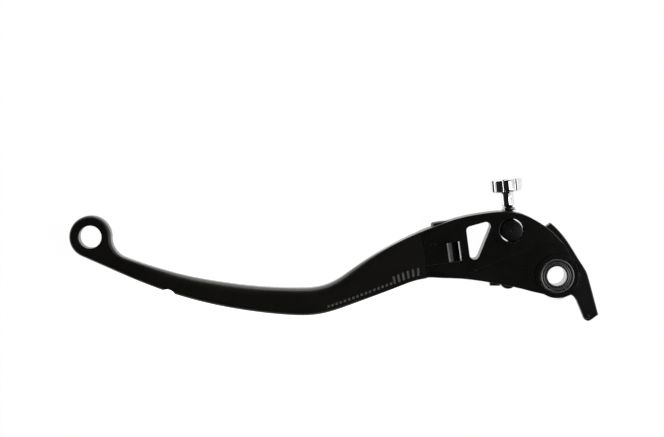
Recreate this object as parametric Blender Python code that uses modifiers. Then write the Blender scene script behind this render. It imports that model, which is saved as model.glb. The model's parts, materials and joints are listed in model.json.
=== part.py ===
"""Folding clutch lever for a hydraulic motorcycle clutch.

World frame: origin on the pivot axis at mid height, +Z up along the pivot,
+Y towards the front of the motorcycle, -X out along the blade to its ringed tip.
All driving dimensions are in millimetres and are scaled to metres by MM.
"""
import math

import bmesh
import bpy
import numpy as np
from mathutils import Matrix, Vector, geometry

MM = 0.001

# ---------------------------------------------------------------- driving dimensions
FIT = 0.15                 # gap round a pressed or seated piece
GAP = 0.30                 # gap between pieces that move on one another

# blade edges seen from above: front edge and rear edge as (x, y) stations
BLADE_FRONT = [(-182.0, 9.55), (-175.6, 7.2), (-162.5, 3.05), (-149.4, -0.25), (-136.3, -2.55),
               (-123.2, -4.1), (-110.0, -4.75), (-103.5, -4.8), (-96.9, -4.1), (-90.4, -1.5),
               (-83.8, 3.0), (-77.2, 7.4), (-64.1, 14.5), (-54.3, 18.9), (-44.0, 22.8)]
BLADE_REAR = [(-183.0, 3.1), (-175.6, -0.2), (-162.5, -5.4), (-149.4, -9.5), (-136.3, -12.5),
              (-123.2, -14.6), (-110.0, -15.9), (-103.5, -16.1), (-96.9, -15.5), (-83.8, -11.5),
              (-64.1, -4.0), (-57.6, -1.7), (-54.3, -1.0), (-47.0, 0.6)]
BLADE_HALF = [(-200.0, 4.6), (-178.0, 4.8), (-140.0, 5.9), (-100.0, 6.6), (-54.0, 6.9)]
BLADE_STEP = 5.2           # spacing of outline points along the edges
NECK_X = -175.6            # where the straight of the front edge starts to curl up to the ring
BLADE_FRONT_ROUND = 3.4    # rounding of the finger side
BLADE_REAR_ROUND = 1.8     # rounding of the grip side
TIP_CENTRE = (-191.3, 16.2)
TIP_RADIUS = 8.65
TIP_HOLE_RADIUS = 4.65
TIP_ROUND = 1.5
NECK_FILLET = 8.6
BREAK_NOTCH = (-159.8, -8.8, 3.5)

# fold hinge: axis lies level across the lever
FOLD_POINT = (-46.25, 9.7)
FOLD_YAW = math.radians(7.6)
SHOULDER_U = -7.0          # end of the blade's plate before the joint faces are cut, along the lever
SHOULDER_ROUND = 10.6      # upper shoulder of the blade, concentric with the hinge
SHOULDER_HEEL_U = -10.8    # lower shoulder, which rests on the lug heels
LUG_ROUND = 10.3           # upper face of the fork lugs, concentric with the hinge
LUG_HEEL_U = -10.5
SLOT_FLOOR_U = 6.95
SLOT_REAR_V = -4.25
SLOT_FRONT_V = 3.75
TONGUE_ROOT_U = -13.0
TONGUE_ROOT_TOP = 6.7      # height of the tongue's top at the shoulder
TONGUE_TOP = 6.42          # and at its nose
TONGUE_BOTTOM = -6.7
TONGUE_RADIUS = 6.45
TONGUE_FLAT_U = 1.3
HEAD_FACE_V = 12.6
HEAD_SEAT_V = 10.7
HEAD_RADIUS = 3.7
BOLT_RADIUS = 2.35
BUSH_RADIUS = 3.6
NUT_SEAT_V = -7.3
NUT_FACE_V = -10.2
NUT_RADIUS = 3.5
DETENT_UZ = (-5.2, -3.2)
DETENT_BALL_V = -4.9
DETENT_BALL_R = 1.0

# knuckle, the forked body between blade and pivot
KNUCKLE_FRONT = [(-58.0, 17.2), (-54.9, 18.6), (-51.0, 20.1), (-47.0, 21.6), (-41.2, 23.5), (-34.6, 25.0),
                 (-28.0, 26.0), (-21.5, 26.5), (-18.2, 26.3), (-14.9, 25.7), (-11.6, 24.4),
                 (-8.4, 22.7), (-4.3, 20.1)]
KNUCKLE_REAR = [(-58.0, -0.8), (-51.0, -0.5), (-47.7, -0.7), (-41.2, -0.9), (-34.6, -1.5), (-28.0, -2.5),
                (-21.5, -3.7), (-14.9, -5.1), (-8.4, -6.8), (-5.6, -7.4)]
KNUCKLE_HALF = 7.2
KNUCKLE_ROUND = 0.35
JAW_HALF = 6.85            # half height inside the perch jaw relief
JAW_RAMP = math.radians(4.3)    # slope by which the relief runs out towards the fork
JAW_DIMPLE = (-33.0, 2.4, 0.5, 0.25)   # x, y, radius and depth of the mark at the end of the jaw line
EAR_EDGE = [(-1.4, 17.7), (2.8, 13.2)]
BOSS_RADIUS = 9.1
BOSS_HALF = 7.0
BOSS_CHAMFER = 0.12
SLOT_HALF = 3.5
WINDOW = [(-37.3, 20.0, 1.75), (-34.8, 1.03, 2.0), (-25.84, 23.2, 1.9)]
ARM_VOID = [(-29.3, -12.0), (12.0, -30.0), (30.0, 0.0), (14.0, 34.0), (-7.6, 34.0), (-7.6, 20.0),
            (-9.8, 12.6), (-14.0, 11.6), (-26.9, 11.6), (-29.3, 4.0)]
JAW_RAMP_END = (-38.6, 0.6)
JAW_LINE = [(-33.2, 2.2), (-31.9, 3.3), (-21.4, 7.3), (-15.1, 9.8), (-11.6, 10.8), (-9.2, 11.6),
            (-6.4, 13.1), (-2.8, 13.5), (14.0, 13.5)]

# reach adjuster: screw axis in the mid plane, pointing rearwards from the barrel nut
NUT_XY = (-18.6, 18.7)
SCREW_DIR = (0.0956, -0.9954)
BARREL_NUT_RADIUS = 4.38
BARREL_NUT_HALF = 6.9
BARREL_BORE = 4.85
BARREL_MOUTH = 0.2         # flare and depth of the chamfer round the bore
SCREW_RADIUS = 1.9
SCREW_TIP = 8.1            # distance from the nut centre to the screw's rear end
STEM_RADIUS = 2.6
STEM_REAR = -10.0
STEM_LENGTH = 5.2
KNOB_RADIUS = 6.5
KNOB_LENGTH = 5.7
KNOB_FLUTES = 8
FLUTE_RADIUS = 0.7
FLUTE_OUT = 0.2            # flute centres stand this far outside the knob
FLUTE_PHASE = math.radians(13.5)

# push arm, the middle plate that carries the pushrod barrel and the tail
ARM_HALF = 3.2
ARM_HUB_RADIUS = 8.8
ARM_TAIL = [(13.0, -18.8), (14.1, -18.5), (17.3, -16.2), (15.2, -8.3), (13.2, -0.9), (12.3, 1.7), (9.0, 6.9),
            (4.6, 14.0), (1.6, 17.8), (-0.7, 20.2), (-2.3, 21.6), (-4.4, 20.0), (-5.7, 18.3)]
ARM_LIMB = [(-5.6, 12.4), (-8.6, 9.9), (-14.4, 9.5), (-21.0, 8.9), (-22.2, 6.2), (-27.2, 1.6),
            (-27.2, -4.2), (-23.0, -4.2), (-20.0, -4.4), (-15.4, -4.6), (-11.6, -5.5), (-8.0, -6.3),
            (-5.2, -7.1)]
ARM_HOOK = [(4.9, -7.6), (6.3, -8.1), (7.5, -9.0), (8.4, -10.3), (9.8, -13.6), (11.2, -17.1), (11.7, -18.2)]
ROD_BARREL_XY = (-19.8, -1.95)
ROD_BARREL_RADIUS = 3.5
ROD_SOCKET_RADIUS = 2.0
TAIL_PIN_XY = (13.1, -17.3)
TAIL_PIN_RADIUS = 0.75

# pivot bearings, 8 x 14 x 3.5
BORE_RADIUS = 4.0
RACE_RADIUS = 7.0
RACE_WIDTH = 3.5
RACE_Z = 3.7
INNER_RACE_OUT = 5.0
OUTER_RACE_IN = 6.1
BALL_RADIUS = 0.42
BALL_TRACK = 5.55
BALL_COUNT = 8
CAGE_HALF = 0.26
SLEEVE_RADIUS = 5.3
ARM_BUSH_RADIUS = 6.7

FINE = 40
COARSE = 24
RING_STEPS = 32

COLOURS = {
    "black_anodised": ((0.012, 0.012, 0.013), 0.36, 1.0),
    "blade_anodised": ((0.014, 0.014, 0.015), 0.33, 1.0),
    "arm_anodised": ((0.018, 0.018, 0.019), 0.42, 1.0),
    "polished_steel": ((0.78, 0.78, 0.80), 0.16, 1.0),
    "black_steel": ((0.03, 0.03, 0.033), 0.38, 1.0),
    "bronze": ((0.52, 0.36, 0.17), 0.35, 1.0),
    "bearing_steel": ((0.62, 0.63, 0.65), 0.2, 1.0),
    "shield_grey": ((0.30, 0.30, 0.31), 0.4, 1.0),
    "spring_steel": ((0.55, 0.55, 0.57), 0.28, 1.0),
}


# ---------------------------------------------------------------- scene helpers
for item in list(bpy.data.objects):
    bpy.data.objects.remove(item, do_unlink=True)

PARTS = bpy.data.collections.new("clutch_lever")
CUTTERS = bpy.data.collections.new("cutters")
bpy.context.scene.collection.children.link(PARTS)
bpy.context.scene.collection.children.link(CUTTERS)

MATERIALS = {}
for label, (rgb, rough, metal) in COLOURS.items():
    mat = bpy.data.materials.new(label)
    mat.use_nodes = True
    shader = mat.node_tree.nodes["Principled BSDF"]
    shader.inputs["Base Color"].default_value = (*rgb, 1.0)
    shader.inputs["Roughness"].default_value = rough
    shader.inputs["Metallic"].default_value = metal
    MATERIALS[label] = mat


def hinge_frame():
    """Local frame of the fold hinge: X along the lever, Y along the axis, Z up."""
    here = Vector((FOLD_POINT[0] * MM, FOLD_POINT[1] * MM, 0.0))
    return Matrix.Translation(here) @ Matrix.Rotation(FOLD_YAW, 4, "Z")


def axis_frame(origin, direction):
    """Frame whose Z runs along a direction, origin in millimetres."""
    turn = Vector(direction).to_track_quat("Z", "X").to_matrix().to_4x4()
    return Matrix.Translation(Vector(origin) * MM) @ turn


FOLD = hinge_frame()
FOLD_AXIS = FOLD @ Matrix.Rotation(-math.pi / 2, 4, "X")      # local Z along the hinge axis, +Y forward
SCREW = axis_frame((*NUT_XY, 0.0), (*SCREW_DIR, 0.0))


def finish(obj, material, collection=PARTS, smooth=35.0):
    """Put an object in its collection with its material and smooth shading."""
    for home in list(obj.users_collection):
        home.objects.unlink(obj)
    collection.objects.link(obj)
    if material:
        obj.data.materials.clear()
        obj.data.materials.append(MATERIALS[material])
    obj.data.shade_smooth()
    obj.data.set_sharp_from_angle(angle=math.radians(smooth))
    if collection is CUTTERS:
        obj.hide_render = True
        obj.display_type = "WIRE"
    return obj


def mesh_object(name, bm, material, collection=PARTS, matrix=None):
    """Turn a bmesh in millimetres into an object in metres."""
    bmesh.ops.scale(bm, vec=(MM, MM, MM), verts=bm.verts)
    mesh = bpy.data.meshes.new(name)
    bm.to_mesh(mesh)
    bm.free()
    obj = bpy.data.objects.new(name, mesh)
    if matrix is not None:
        obj.matrix_world = matrix
    return finish(obj, material, collection)


def cut(target, *cutters):
    """Subtract cutters from a target, in order."""
    for cutter in cutters:
        mod = target.modifiers.new("cut " + cutter.name, "BOOLEAN")
        mod.operation = "DIFFERENCE"
        mod.solver = "EXACT"
        mod.object = cutter
    return target


def join(target, *others):
    """Unite a target with helper solids, in order."""
    for other in others:
        mod = target.modifiers.new("join " + other.name, "BOOLEAN")
        mod.operation = "UNION"
        mod.solver = "EXACT"
        mod.object = other
    return target


def cylinder(name, radius, low, high, material=None, collection=PARTS, matrix=None, segments=FINE, top=None):
    """Cylinder or cone frustum along local Z from low to high."""
    bm = bmesh.new()
    bmesh.ops.create_cone(bm, cap_ends=True, segments=segments, radius1=radius,
                          radius2=radius if top is None else top, depth=high - low)
    bmesh.ops.translate(bm, vec=(0, 0, (high + low) / 2), verts=bm.verts)
    return mesh_object(name, bm, material, collection, matrix)


def box(name, low, high, material=None, collection=PARTS, matrix=None):
    """Box between two corners of its local frame."""
    bm = bmesh.new()
    bmesh.ops.create_cube(bm, size=1.0)
    size = [b - a for a, b in zip(low, high)]
    mid = [(a + b) / 2 for a, b in zip(low, high)]
    bmesh.ops.scale(bm, vec=size, verts=bm.verts)
    bmesh.ops.translate(bm, vec=mid, verts=bm.verts)
    return mesh_object(name, bm, material, collection, matrix)


def turned(name, profile, material, matrix=None, segments=FINE, collection=PARTS):
    """Closed profile of (radius, z) points turned about local Z by a Screw modifier."""
    mesh = bpy.data.meshes.new(name)
    verts = [(r * MM, 0.0, z * MM) for r, z in profile]
    edges = [(i, (i + 1) % len(verts)) for i in range(len(verts))]
    if min(r for r, z in profile) < 1e-6:
        edges = edges[:-1]
    mesh.from_pydata(verts, edges, [])
    obj = bpy.data.objects.new(name, mesh)
    if matrix is not None:
        obj.matrix_world = matrix
    finish(obj, material, collection)
    mod = obj.modifiers.new("turn", "SCREW")
    mod.axis = "Z"
    mod.angle = math.tau
    mod.steps = segments
    mod.render_steps = segments
    mod.use_merge_vertices = True
    mod.merge_threshold = 0.00001
    return obj


def ring_profile(inner, outer, low, high, chamfer=0.0):
    """Ring section running down its outer side, with four chamfered corners if asked."""
    if not chamfer:
        return [(outer, high), (outer, low), (inner, low), (inner, high)]
    return [(outer - chamfer, high), (outer, high - chamfer), (outer, low + chamfer), (outer - chamfer, low),
            (inner + chamfer, low), (inner, low + chamfer), (inner, high - chamfer), (inner + chamfer, high)]


def plate(name, loop, low, high, material=None, collection=PARTS, matrix=None):
    """Flat outline extruded between two heights of its local frame."""
    curve = bpy.data.curves.new(name + " outline", "CURVE")
    curve.dimensions = "2D"
    curve.fill_mode = "BOTH"
    curve.extrude = (high - low) / 2 * MM
    spline = curve.splines.new("POLY")
    spline.points.add(len(loop) - 1)
    for point, (x, y) in zip(spline.points, loop):
        point.co = (x * MM, y * MM, 0.0, 1.0)
    spline.use_cyclic_u = True
    guide = bpy.data.objects.new(name + " guide", curve)
    bpy.context.scene.collection.objects.link(guide)
    bpy.context.view_layer.update()
    graph = bpy.context.evaluated_depsgraph_get()
    mesh = bpy.data.meshes.new_from_object(guide.evaluated_get(graph))
    bm = bmesh.new()
    bm.from_mesh(mesh)
    bmesh.ops.remove_doubles(bm, verts=bm.verts, dist=0.000002)
    bmesh.ops.dissolve_limit(bm, angle_limit=math.radians(0.5), verts=bm.verts, edges=bm.edges)
    bmesh.ops.translate(bm, vec=(0, 0, (high + low) / 2 * MM), verts=bm.verts)
    bmesh.ops.recalc_face_normals(bm, faces=bm.faces)
    bm.to_mesh(mesh)
    bm.free()
    bpy.data.objects.remove(guide, do_unlink=True)
    obj = bpy.data.objects.new(name, mesh)
    if matrix is not None:
        obj.matrix_world = matrix
    return finish(obj, material, collection)


def coil(name, radii, wire, start, end, turns, material, matrix=None, per_turn=12):
    """Compression spring along local Z as a bevelled poly curve, radii at its start and end."""
    count = int(turns * per_turn) + 1
    curve = bpy.data.curves.new(name, "CURVE")
    curve.dimensions = "3D"
    curve.bevel_depth = wire * MM
    curve.bevel_resolution = 1
    curve.use_fill_caps = True
    spline = curve.splines.new("POLY")
    spline.points.add(count - 1)
    for i, point in enumerate(spline.points):
        t = i / (count - 1)
        ang = math.tau * turns * t
        radius = radii[0] + (radii[1] - radii[0]) * t
        point.co = (radius * math.cos(ang) * MM, radius * math.sin(ang) * MM,
                    (start + (end - start) * t) * MM, 1.0)
    obj = bpy.data.objects.new(name, curve)
    if matrix is not None:
        obj.matrix_world = matrix
    PARTS.objects.link(obj)
    curve.materials.append(MATERIALS[material])
    return obj


# ---------------------------------------------------------------- curve maths
def natural_spline(points):
    """Natural cubic through (x, y) stations, returned as y(x)."""
    x = np.array([p[0] for p in points], float)
    y = np.array([p[1] for p in points], float)
    n = len(x)
    h = np.diff(x)
    a = np.eye(n)
    b = np.zeros(n)
    for i in range(1, n - 1):
        a[i, i - 1:i + 2] = (h[i - 1], 2 * (h[i - 1] + h[i]), h[i])
        b[i] = 6 * ((y[i + 1] - y[i]) / h[i] - (y[i] - y[i - 1]) / h[i - 1])
    m = np.linalg.solve(a, b)

    def value(t):
        i = int(min(max(np.searchsorted(x, t) - 1, 0), n - 2))
        p = (x[i + 1] - t) / h[i]
        q = (t - x[i]) / h[i]
        bend = ((p ** 3 - p) * m[i] + (q ** 3 - q) * m[i + 1]) * h[i] ** 2 / 6
        return float(p * y[i] + q * y[i + 1] + bend)

    return value


def arc(cx, cy, radius, start, end, count):
    """Points on an arc, angles in radians, both ends included."""
    return [(cx + radius * math.cos(start + (end - start) * i / count),
             cy + radius * math.sin(start + (end - start) * i / count)) for i in range(count + 1)]


def rounded_polygon(corners, count=6):
    """Polygon of (x, y, radius) corners with each corner rounded."""
    points = []
    total = len(corners)
    for i, (x, y, radius) in enumerate(corners):
        here = Vector((x, y))
        back = (Vector(corners[i - 1][:2]) - here).normalized()
        ahead = (Vector(corners[(i + 1) % total][:2]) - here).normalized()
        half = back.angle(ahead) / 2
        centre = here + (back + ahead).normalized() * (radius / math.sin(half))
        first = here + back * (radius / math.tan(half)) - centre
        last = here + ahead * (radius / math.tan(half)) - centre
        a0 = math.atan2(first.y, first.x)
        turn = (math.atan2(last.y, last.x) - a0 + math.pi) % math.tau - math.pi
        points += arc(centre.x, centre.y, radius, a0, a0 + turn, count)
    return points


def seam_x(edge, target_u, low, high):
    """X where an edge function crosses a line square to the lever at the fold hinge."""
    for _ in range(50):
        mid = (low + high) / 2
        rel_x = mid - FOLD_POINT[0]
        rel_y = edge(mid) - FOLD_POINT[1]
        u = rel_x * math.cos(FOLD_YAW) + rel_y * math.sin(FOLD_YAW)
        if u < target_u:
            low = mid
        else:
            high = mid
    return (low + high) / 2


def smooth_run(points, count):
    """Centripetal curve through points, with count spans between neighbours."""
    pts = [Vector(p) for p in points]
    pts = [pts[0] * 2 - pts[1]] + pts + [pts[-1] * 2 - pts[-2]]
    run = []
    for i in range(1, len(pts) - 2):
        p0, p1, p2, p3 = pts[i - 1:i + 3]
        t1 = (p1 - p0).length ** 0.5
        t2 = t1 + (p2 - p1).length ** 0.5
        t3 = t2 + (p3 - p2).length ** 0.5
        for k in range(count):
            t = t1 + (t2 - t1) * k / count
            a1 = p0 * ((t1 - t) / t1) + p1 * (t / t1)
            a2 = p1 * ((t2 - t) / (t2 - t1)) + p2 * ((t - t1) / (t2 - t1))
            a3 = p2 * ((t3 - t) / (t3 - t2)) + p3 * ((t - t2) / (t3 - t2))
            b1 = a1 * ((t2 - t) / t2) + a2 * (t / t2)
            b2 = a2 * ((t3 - t) / (t3 - t1)) + a3 * ((t - t1) / (t3 - t1))
            c = b1 * ((t2 - t) / (t2 - t1)) + b2 * ((t - t1) / (t2 - t1))
            run.append((c.x, c.y))
    run.append((pts[-2].x, pts[-2].y))
    return run


# ---------------------------------------------------------------- plate with rounded edges
def rounded_plate(name, loop, edge_round, half_height, material, rings=4, inner=None, fill_step=7.0):
    """Solid symmetric about z = 0 whose rim is rounded by a radius that may vary along the outline.

    loop is anticlockwise; edge_round(i) gives the rounding at a point and half_height(x) the half height.
    inner is an optional (x, y, radius, rounding) hole.
    """
    loops = [loop]
    rounds = [[edge_round(i) for i in range(len(loop))]]
    if inner:
        hx, hy, hr, hround = inner
        circle = arc(hx, hy, hr, 0.0, -math.tau, COARSE)[:-1]
        loops.append(circle)
        rounds.append([hround] * len(circle))
    bm = bmesh.new()
    caps = []
    for pts, radii in zip(loops, rounds):
        total = len(pts)
        normals = []
        for i in range(total):
            ahead = Vector(pts[(i + 1) % total]) - Vector(pts[i])
            back = Vector(pts[i]) - Vector(pts[i - 1])
            edge_dir = (ahead.normalized() + back.normalized()).normalized()
            cosine = max(edge_dir.dot(ahead.normalized()), 0.5)
            normals.append(Vector((-edge_dir.y, edge_dir.x)) / cosine)
        stack = []
        for sign in (-1, 1):
            for k in range(rings + 1):
                phi = math.pi / 2 * (k / rings if sign > 0 else 1 - k / rings)
                ring = []
                for (x, y), normal, radius in zip(pts, normals, radii):
                    inset = radius * (1 - math.cos(phi))
                    px = x + normal.x * inset
                    py = y + normal.y * inset
                    height = half_height(px) - radius * (1 - math.sin(phi))
                    ring.append(bm.verts.new((px, py, sign * height)))
                stack.append(ring)
        for lower, upper in zip(stack, stack[1:]):
            for i in range(total):
                j = (i + 1) % total
                bm.faces.new((lower[i], lower[j], upper[j], upper[i]))
        caps.append((stack[0], stack[-1]))
    for side, flip in ((1, False), (0, True)):
        rim = [v for cap in caps for v in cap[side]]
        flat = [Vector((v.co.x, v.co.y)) for v in rim]
        edges = []
        start = 0
        for cap in caps:
            size = len(cap[side])
            edges += [(start + i, start + (i + 1) % size) for i in range(size)]
            start += size
        xs = [p.x for p in flat]
        ys = [p.y for p in flat]
        points = list(flat)
        x = min(xs) + fill_step
        while x < max(xs):
            y = min(ys) + fill_step / 2
            while y < max(ys):
                near = min((p - Vector((x, y))).length for p in flat)
                if near > fill_step * 0.45 and inside((x, y), loops[0]):
                    points.append(Vector((x, y)))
                y += fill_step
            x += fill_step
        out = geometry.delaunay_2d_cdt(points, edges, [], 0, 1e-5)
        origin = out[3]
        made = []
        for i, co in enumerate(out[0]):
            ids = [k for k in origin[i] if k < len(rim)]
            if ids:
                made.append(rim[ids[0]])
            else:
                made.append(bm.verts.new((co.x, co.y, half_height(co.x) * (1 if side else -1))))
        for tri in out[2]:
            middle = sum((Vector(out[0][k]) for k in tri), Vector((0, 0))) / 3
            if not inside(middle, [(p.x, p.y) for p in flat[:len(caps[0][side])]]):
                continue
            if inner and (middle - Vector(inner[:2])).length < inner[2]:
                continue
            corners = [made[k] for k in tri]
            bm.faces.new(corners[::-1] if flip else corners)
    bmesh.ops.recalc_face_normals(bm, faces=bm.faces)
    return mesh_object(name, bm, material)


def inside(point, loop):
    """Whether a point lies inside a closed outline."""
    px, py = point[0], point[1]
    hit = False
    for (x0, y0), (x1, y1) in zip(loop, loop[1:] + loop[:1]):
        if (y0 > py) != (y1 > py) and px < (x1 - x0) * (py - y0) / (y1 - y0) + x0:
            hit = not hit
    return hit


# ---------------------------------------------------------------- finger blade
front_y = natural_spline(BLADE_FRONT)
rear_y = natural_spline(BLADE_REAR)
blade_half = natural_spline(BLADE_HALF)


def blade_outline():
    """Outline of the blade with its ringed tip, anticlockwise, and the kind of edge at each point."""
    x_front = seam_x(front_y, SHOULDER_U, -70.0, -40.0)
    x_rear = seam_x(rear_y, SHOULDER_U, -70.0, -40.0)
    x_line = NECK_X
    slope = (front_y(x_line + 0.5) - front_y(x_line - 0.5))
    along = Vector((-1.0, -slope)).normalized()
    up = Vector((-along.y, along.x)) * (-1 if along.x > 0 else 1)
    if up.y < 0:
        up = -up
    base = Vector((x_line, front_y(x_line)))
    tip = Vector(TIP_CENTRE)
    rel = base + up * NECK_FILLET - tip
    reach = TIP_RADIUS + NECK_FILLET
    b = rel.dot(along)
    t = -b - math.sqrt(b * b - rel.length_squared + reach * reach)
    centre = base + up * NECK_FILLET + along * t
    to_tip = tip - centre
    a_start = math.atan2(-up.y, -up.x)
    a_end = math.atan2(to_tip.y, to_tip.x)
    turn = (a_end - a_start + math.pi) % math.tau - math.pi
    ring_start = math.atan2(-to_tip.y, -to_tip.x)
    rear_slope = rear_y(BLADE_REAR[0][0] + 1.0) - rear_y(BLADE_REAR[0][0])
    ring_end = math.atan2(-1.0, rear_slope)
    ring_turn = (ring_end - ring_start) % math.tau
    pts = []
    kinds = []
    count = round((x_front - x_line) / BLADE_STEP)
    for i in range(count + 1):
        x = x_front + (x_line - x_front) * i / count
        pts.append((x, front_y(x)))
        kinds.append("front")
    for p in arc(centre.x, centre.y, NECK_FILLET, a_start, a_start + turn, 6):
        pts.append(p)
        kinds.append("neck")
    for p in arc(tip.x, tip.y, TIP_RADIUS, ring_start, ring_start + ring_turn, 26)[1:]:
        pts.append(p)
        kinds.append("tip")
    x = BLADE_REAR[0][0]
    count = round((x_rear - x) / BLADE_STEP)
    for i in range(count + 1):
        here = x + (x_rear - x) * i / count
        pts.append((here, rear_y(here)))
        kinds.append("rear")
    return pts, kinds


blade_loop, blade_kinds = blade_outline()


def blade_round(i):
    """Edge rounding of the blade: generous on the finger side, small at the shoulder."""
    x, y = blade_loop[i]
    kind = blade_kinds[i]
    if kind in ("tip", "neck"):
        return TIP_ROUND
    full = BLADE_FRONT_ROUND if kind == "front" else BLADE_REAR_ROUND
    near_tip = min(max((-150.0 - x) / 25.0, 0.0), 1.0)
    near_root = min(max((x + 90.0) / 28.0, 0.0), 1.0)
    value = full + (TIP_ROUND - full) * near_tip * near_tip * (3 - 2 * near_tip)
    return value + (0.6 - value) * near_root * near_root * (3 - 2 * near_root)


blade = rounded_plate("finger_blade", blade_loop, blade_round, blade_half, "blade_anodised",
                      inner=(*TIP_CENTRE, TIP_HOLE_RADIUS, 0.5))


def tongue_profile():
    """Side profile of the hinge tongue in the hinge frame, (along, up)."""
    rim = arc(0.0, 0.0, TONGUE_RADIUS, math.radians(-86), math.radians(70.5), 16)
    return [(TONGUE_ROOT_U, TONGUE_BOTTOM), (0.4, TONGUE_BOTTOM)] + rim + [
        (TONGUE_FLAT_U, TONGUE_TOP), (-8.2, TONGUE_ROOT_TOP), (TONGUE_ROOT_U, TONGUE_ROOT_TOP)]


TONGUE_REAR_V = SLOT_REAR_V + GAP
TONGUE_FRONT_V = SLOT_FRONT_V - GAP
# the profile plane is turned upright: local Y becomes up and local Z points rearwards
UPRIGHT = FOLD @ Matrix.Rotation(math.pi / 2, 4, "X")
tongue = plate("tongue_block", tongue_profile(), -TONGUE_FRONT_V, -TONGUE_REAR_V, None, CUTTERS, UPRIGHT)
cut(blade,
    cylinder("cut_shoulder_top", SHOULDER_ROUND, -20, 20, None, CUTTERS, FOLD_AXIS, 72),
    box("cut_shoulder_heel", (SHOULDER_HEEL_U, -20, -12), (4, 20, 0), None, CUTTERS, FOLD))
join(blade, tongue)
cut(blade,
    cylinder("cut_break_notch", BREAK_NOTCH[2], -12, 12, None, CUTTERS,
             Matrix.Translation(Vector((BREAK_NOTCH[0], BREAK_NOTCH[1], 0)) * MM), COARSE),
    cylinder("cut_tongue_bore", BUSH_RADIUS + FIT, -9, 9, None, CUTTERS, FOLD_AXIS, COARSE))
detent_here = Vector((DETENT_UZ[0], DETENT_BALL_V, DETENT_UZ[1]))


def sphere(name, radius, centre, material, collection, matrix, segments=16):
    """Ball with its centre in millimetres in a local frame."""
    bm = bmesh.new()
    bmesh.ops.create_uvsphere(bm, u_segments=segments, v_segments=segments // 2, radius=radius)
    obj = mesh_object(name, bm, material, collection)
    obj.matrix_world = matrix @ Matrix.Translation(Vector(centre) * MM)
    return obj


cut(blade, sphere("cut_detent_dimple", DETENT_BALL_R + GAP, detent_here, None, CUTTERS, FOLD))

# ---------------------------------------------------------------- fold hinge hardware
bolt = turned("fold_hinge_bolt", [
    (0.0, HEAD_FACE_V), (HEAD_RADIUS - 0.5, HEAD_FACE_V), (HEAD_RADIUS, HEAD_FACE_V - 0.5),
    (HEAD_RADIUS, HEAD_SEAT_V + FIT), (BOLT_RADIUS, HEAD_SEAT_V + FIT), (BOLT_RADIUS, NUT_FACE_V + 0.9),
    (BOLT_RADIUS - 0.4, NUT_FACE_V + 0.5), (0.0, NUT_FACE_V + 0.5)], "black_steel", FOLD_AXIS, 28)
cut(bolt, cylinder("cut_bolt_socket", 1.45, HEAD_FACE_V - 1.1, HEAD_FACE_V + 1, None, CUTTERS, FOLD_AXIS, 6))
turned("fold_hinge_bush", ring_profile(BOLT_RADIUS + GAP, BUSH_RADIUS, TONGUE_REAR_V + 0.1, TONGUE_FRONT_V - 0.1,
                                       0.2), "bronze", FOLD_AXIS, 28)
nut = cylinder("fold_hinge_nut", NUT_RADIUS, NUT_FACE_V, NUT_SEAT_V - FIT, "black_steel", PARTS, FOLD_AXIS, 6)
cut(nut, cylinder("cut_nut_thread", BOLT_RADIUS + FIT, -14, 0, None, CUTTERS,
                  FOLD_AXIS @ Matrix.Rotation(math.radians(4), 4, "Z"), 20))

DETENT = FOLD @ Matrix.Translation(Vector((DETENT_UZ[0], 0.0, DETENT_UZ[1])) * MM) @ Matrix.Rotation(
    math.pi / 2, 4, "X")                                      # local Z points rearwards
sphere("detent_ball", DETENT_BALL_R, detent_here, "bearing_steel", PARTS, FOLD)
coil("detent_spring", (0.66, 0.66), 0.17, 6.25, 7.75, 3.0, "spring_steel", DETENT, 10)
grub = cylinder("detent_grub_screw", 1.35, 8.05, 9.35, "black_steel", PARTS, DETENT, COARSE)
cut(grub, cylinder("cut_grub_socket", 0.65, 8.7, 11, None, CUTTERS, DETENT, 6))

# ---------------------------------------------------------------- knuckle
knuckle_front = natural_spline(KNUCKLE_FRONT)
knuckle_rear = natural_spline(KNUCKLE_REAR)


def knuckle_outline():
    """Outline of the knuckle with its pivot boss, anticlockwise from the rear of the fork."""
    x_rear = seam_x(knuckle_rear, LUG_HEEL_U, -70.0, -40.0)
    x_front = seam_x(knuckle_front, LUG_HEEL_U, -70.0, -40.0)
    x_end = KNUCKLE_REAR[-1][0]
    pts = []
    for i in range(13):
        x = x_rear + (x_end - x_rear) * i / 12
        pts.append((x, knuckle_rear(x)))
    a0 = math.atan2(knuckle_rear(x_end) - 0.6, x_end + 0.7)
    pts += arc(0, 0, BOSS_RADIUS, a0, math.radians(44), 20)
    pts += [(x, y) for x, y in EAR_EDGE[::-1]]
    x_tip = KNUCKLE_FRONT[-1][0]
    for i in range(17):
        x = x_tip + (x_front - x_tip) * i / 16
        pts.append((x, knuckle_front(x)))
    return pts


knuckle = rounded_plate("lever_knuckle", knuckle_outline(), lambda i: KNUCKLE_ROUND,
                        lambda x: KNUCKLE_HALF, "black_anodised", rings=2, fill_step=12.0)


def jaw_cutters(name, side):
    """Shallow relief on one face for the perch jaw: a level part and a ramp that runs out towards the fork."""
    start = JAW_LINE[0]
    level = plate(name + "_level", (JAW_LINE + [(20.0, -22.0), (start[0], -14.0)])[::-1], JAW_HALF, 12.0, None,
                  CUTTERS)
    ramp_loop = [JAW_RAMP_END, start, (start[0] + 0.1, -14.0), (JAW_RAMP_END[0], -14.0)]
    ramp = plate(name + "_ramp", ramp_loop[::-1], 0.0, 6.0, None, CUTTERS)
    foot = Vector((start[0], 0.0, JAW_HALF)) * MM
    turn = Matrix.Translation(foot) @ Matrix.Rotation(JAW_RAMP, 4, "Y") @ Matrix.Translation(
        Vector((-foot.x, 0, 0)))
    flip = Matrix.Identity(4) if side > 0 else Matrix.Scale(-1, 4, (0, 0, 1))
    level.matrix_world = flip
    ramp.matrix_world = flip @ turn
    return level, ramp


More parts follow.
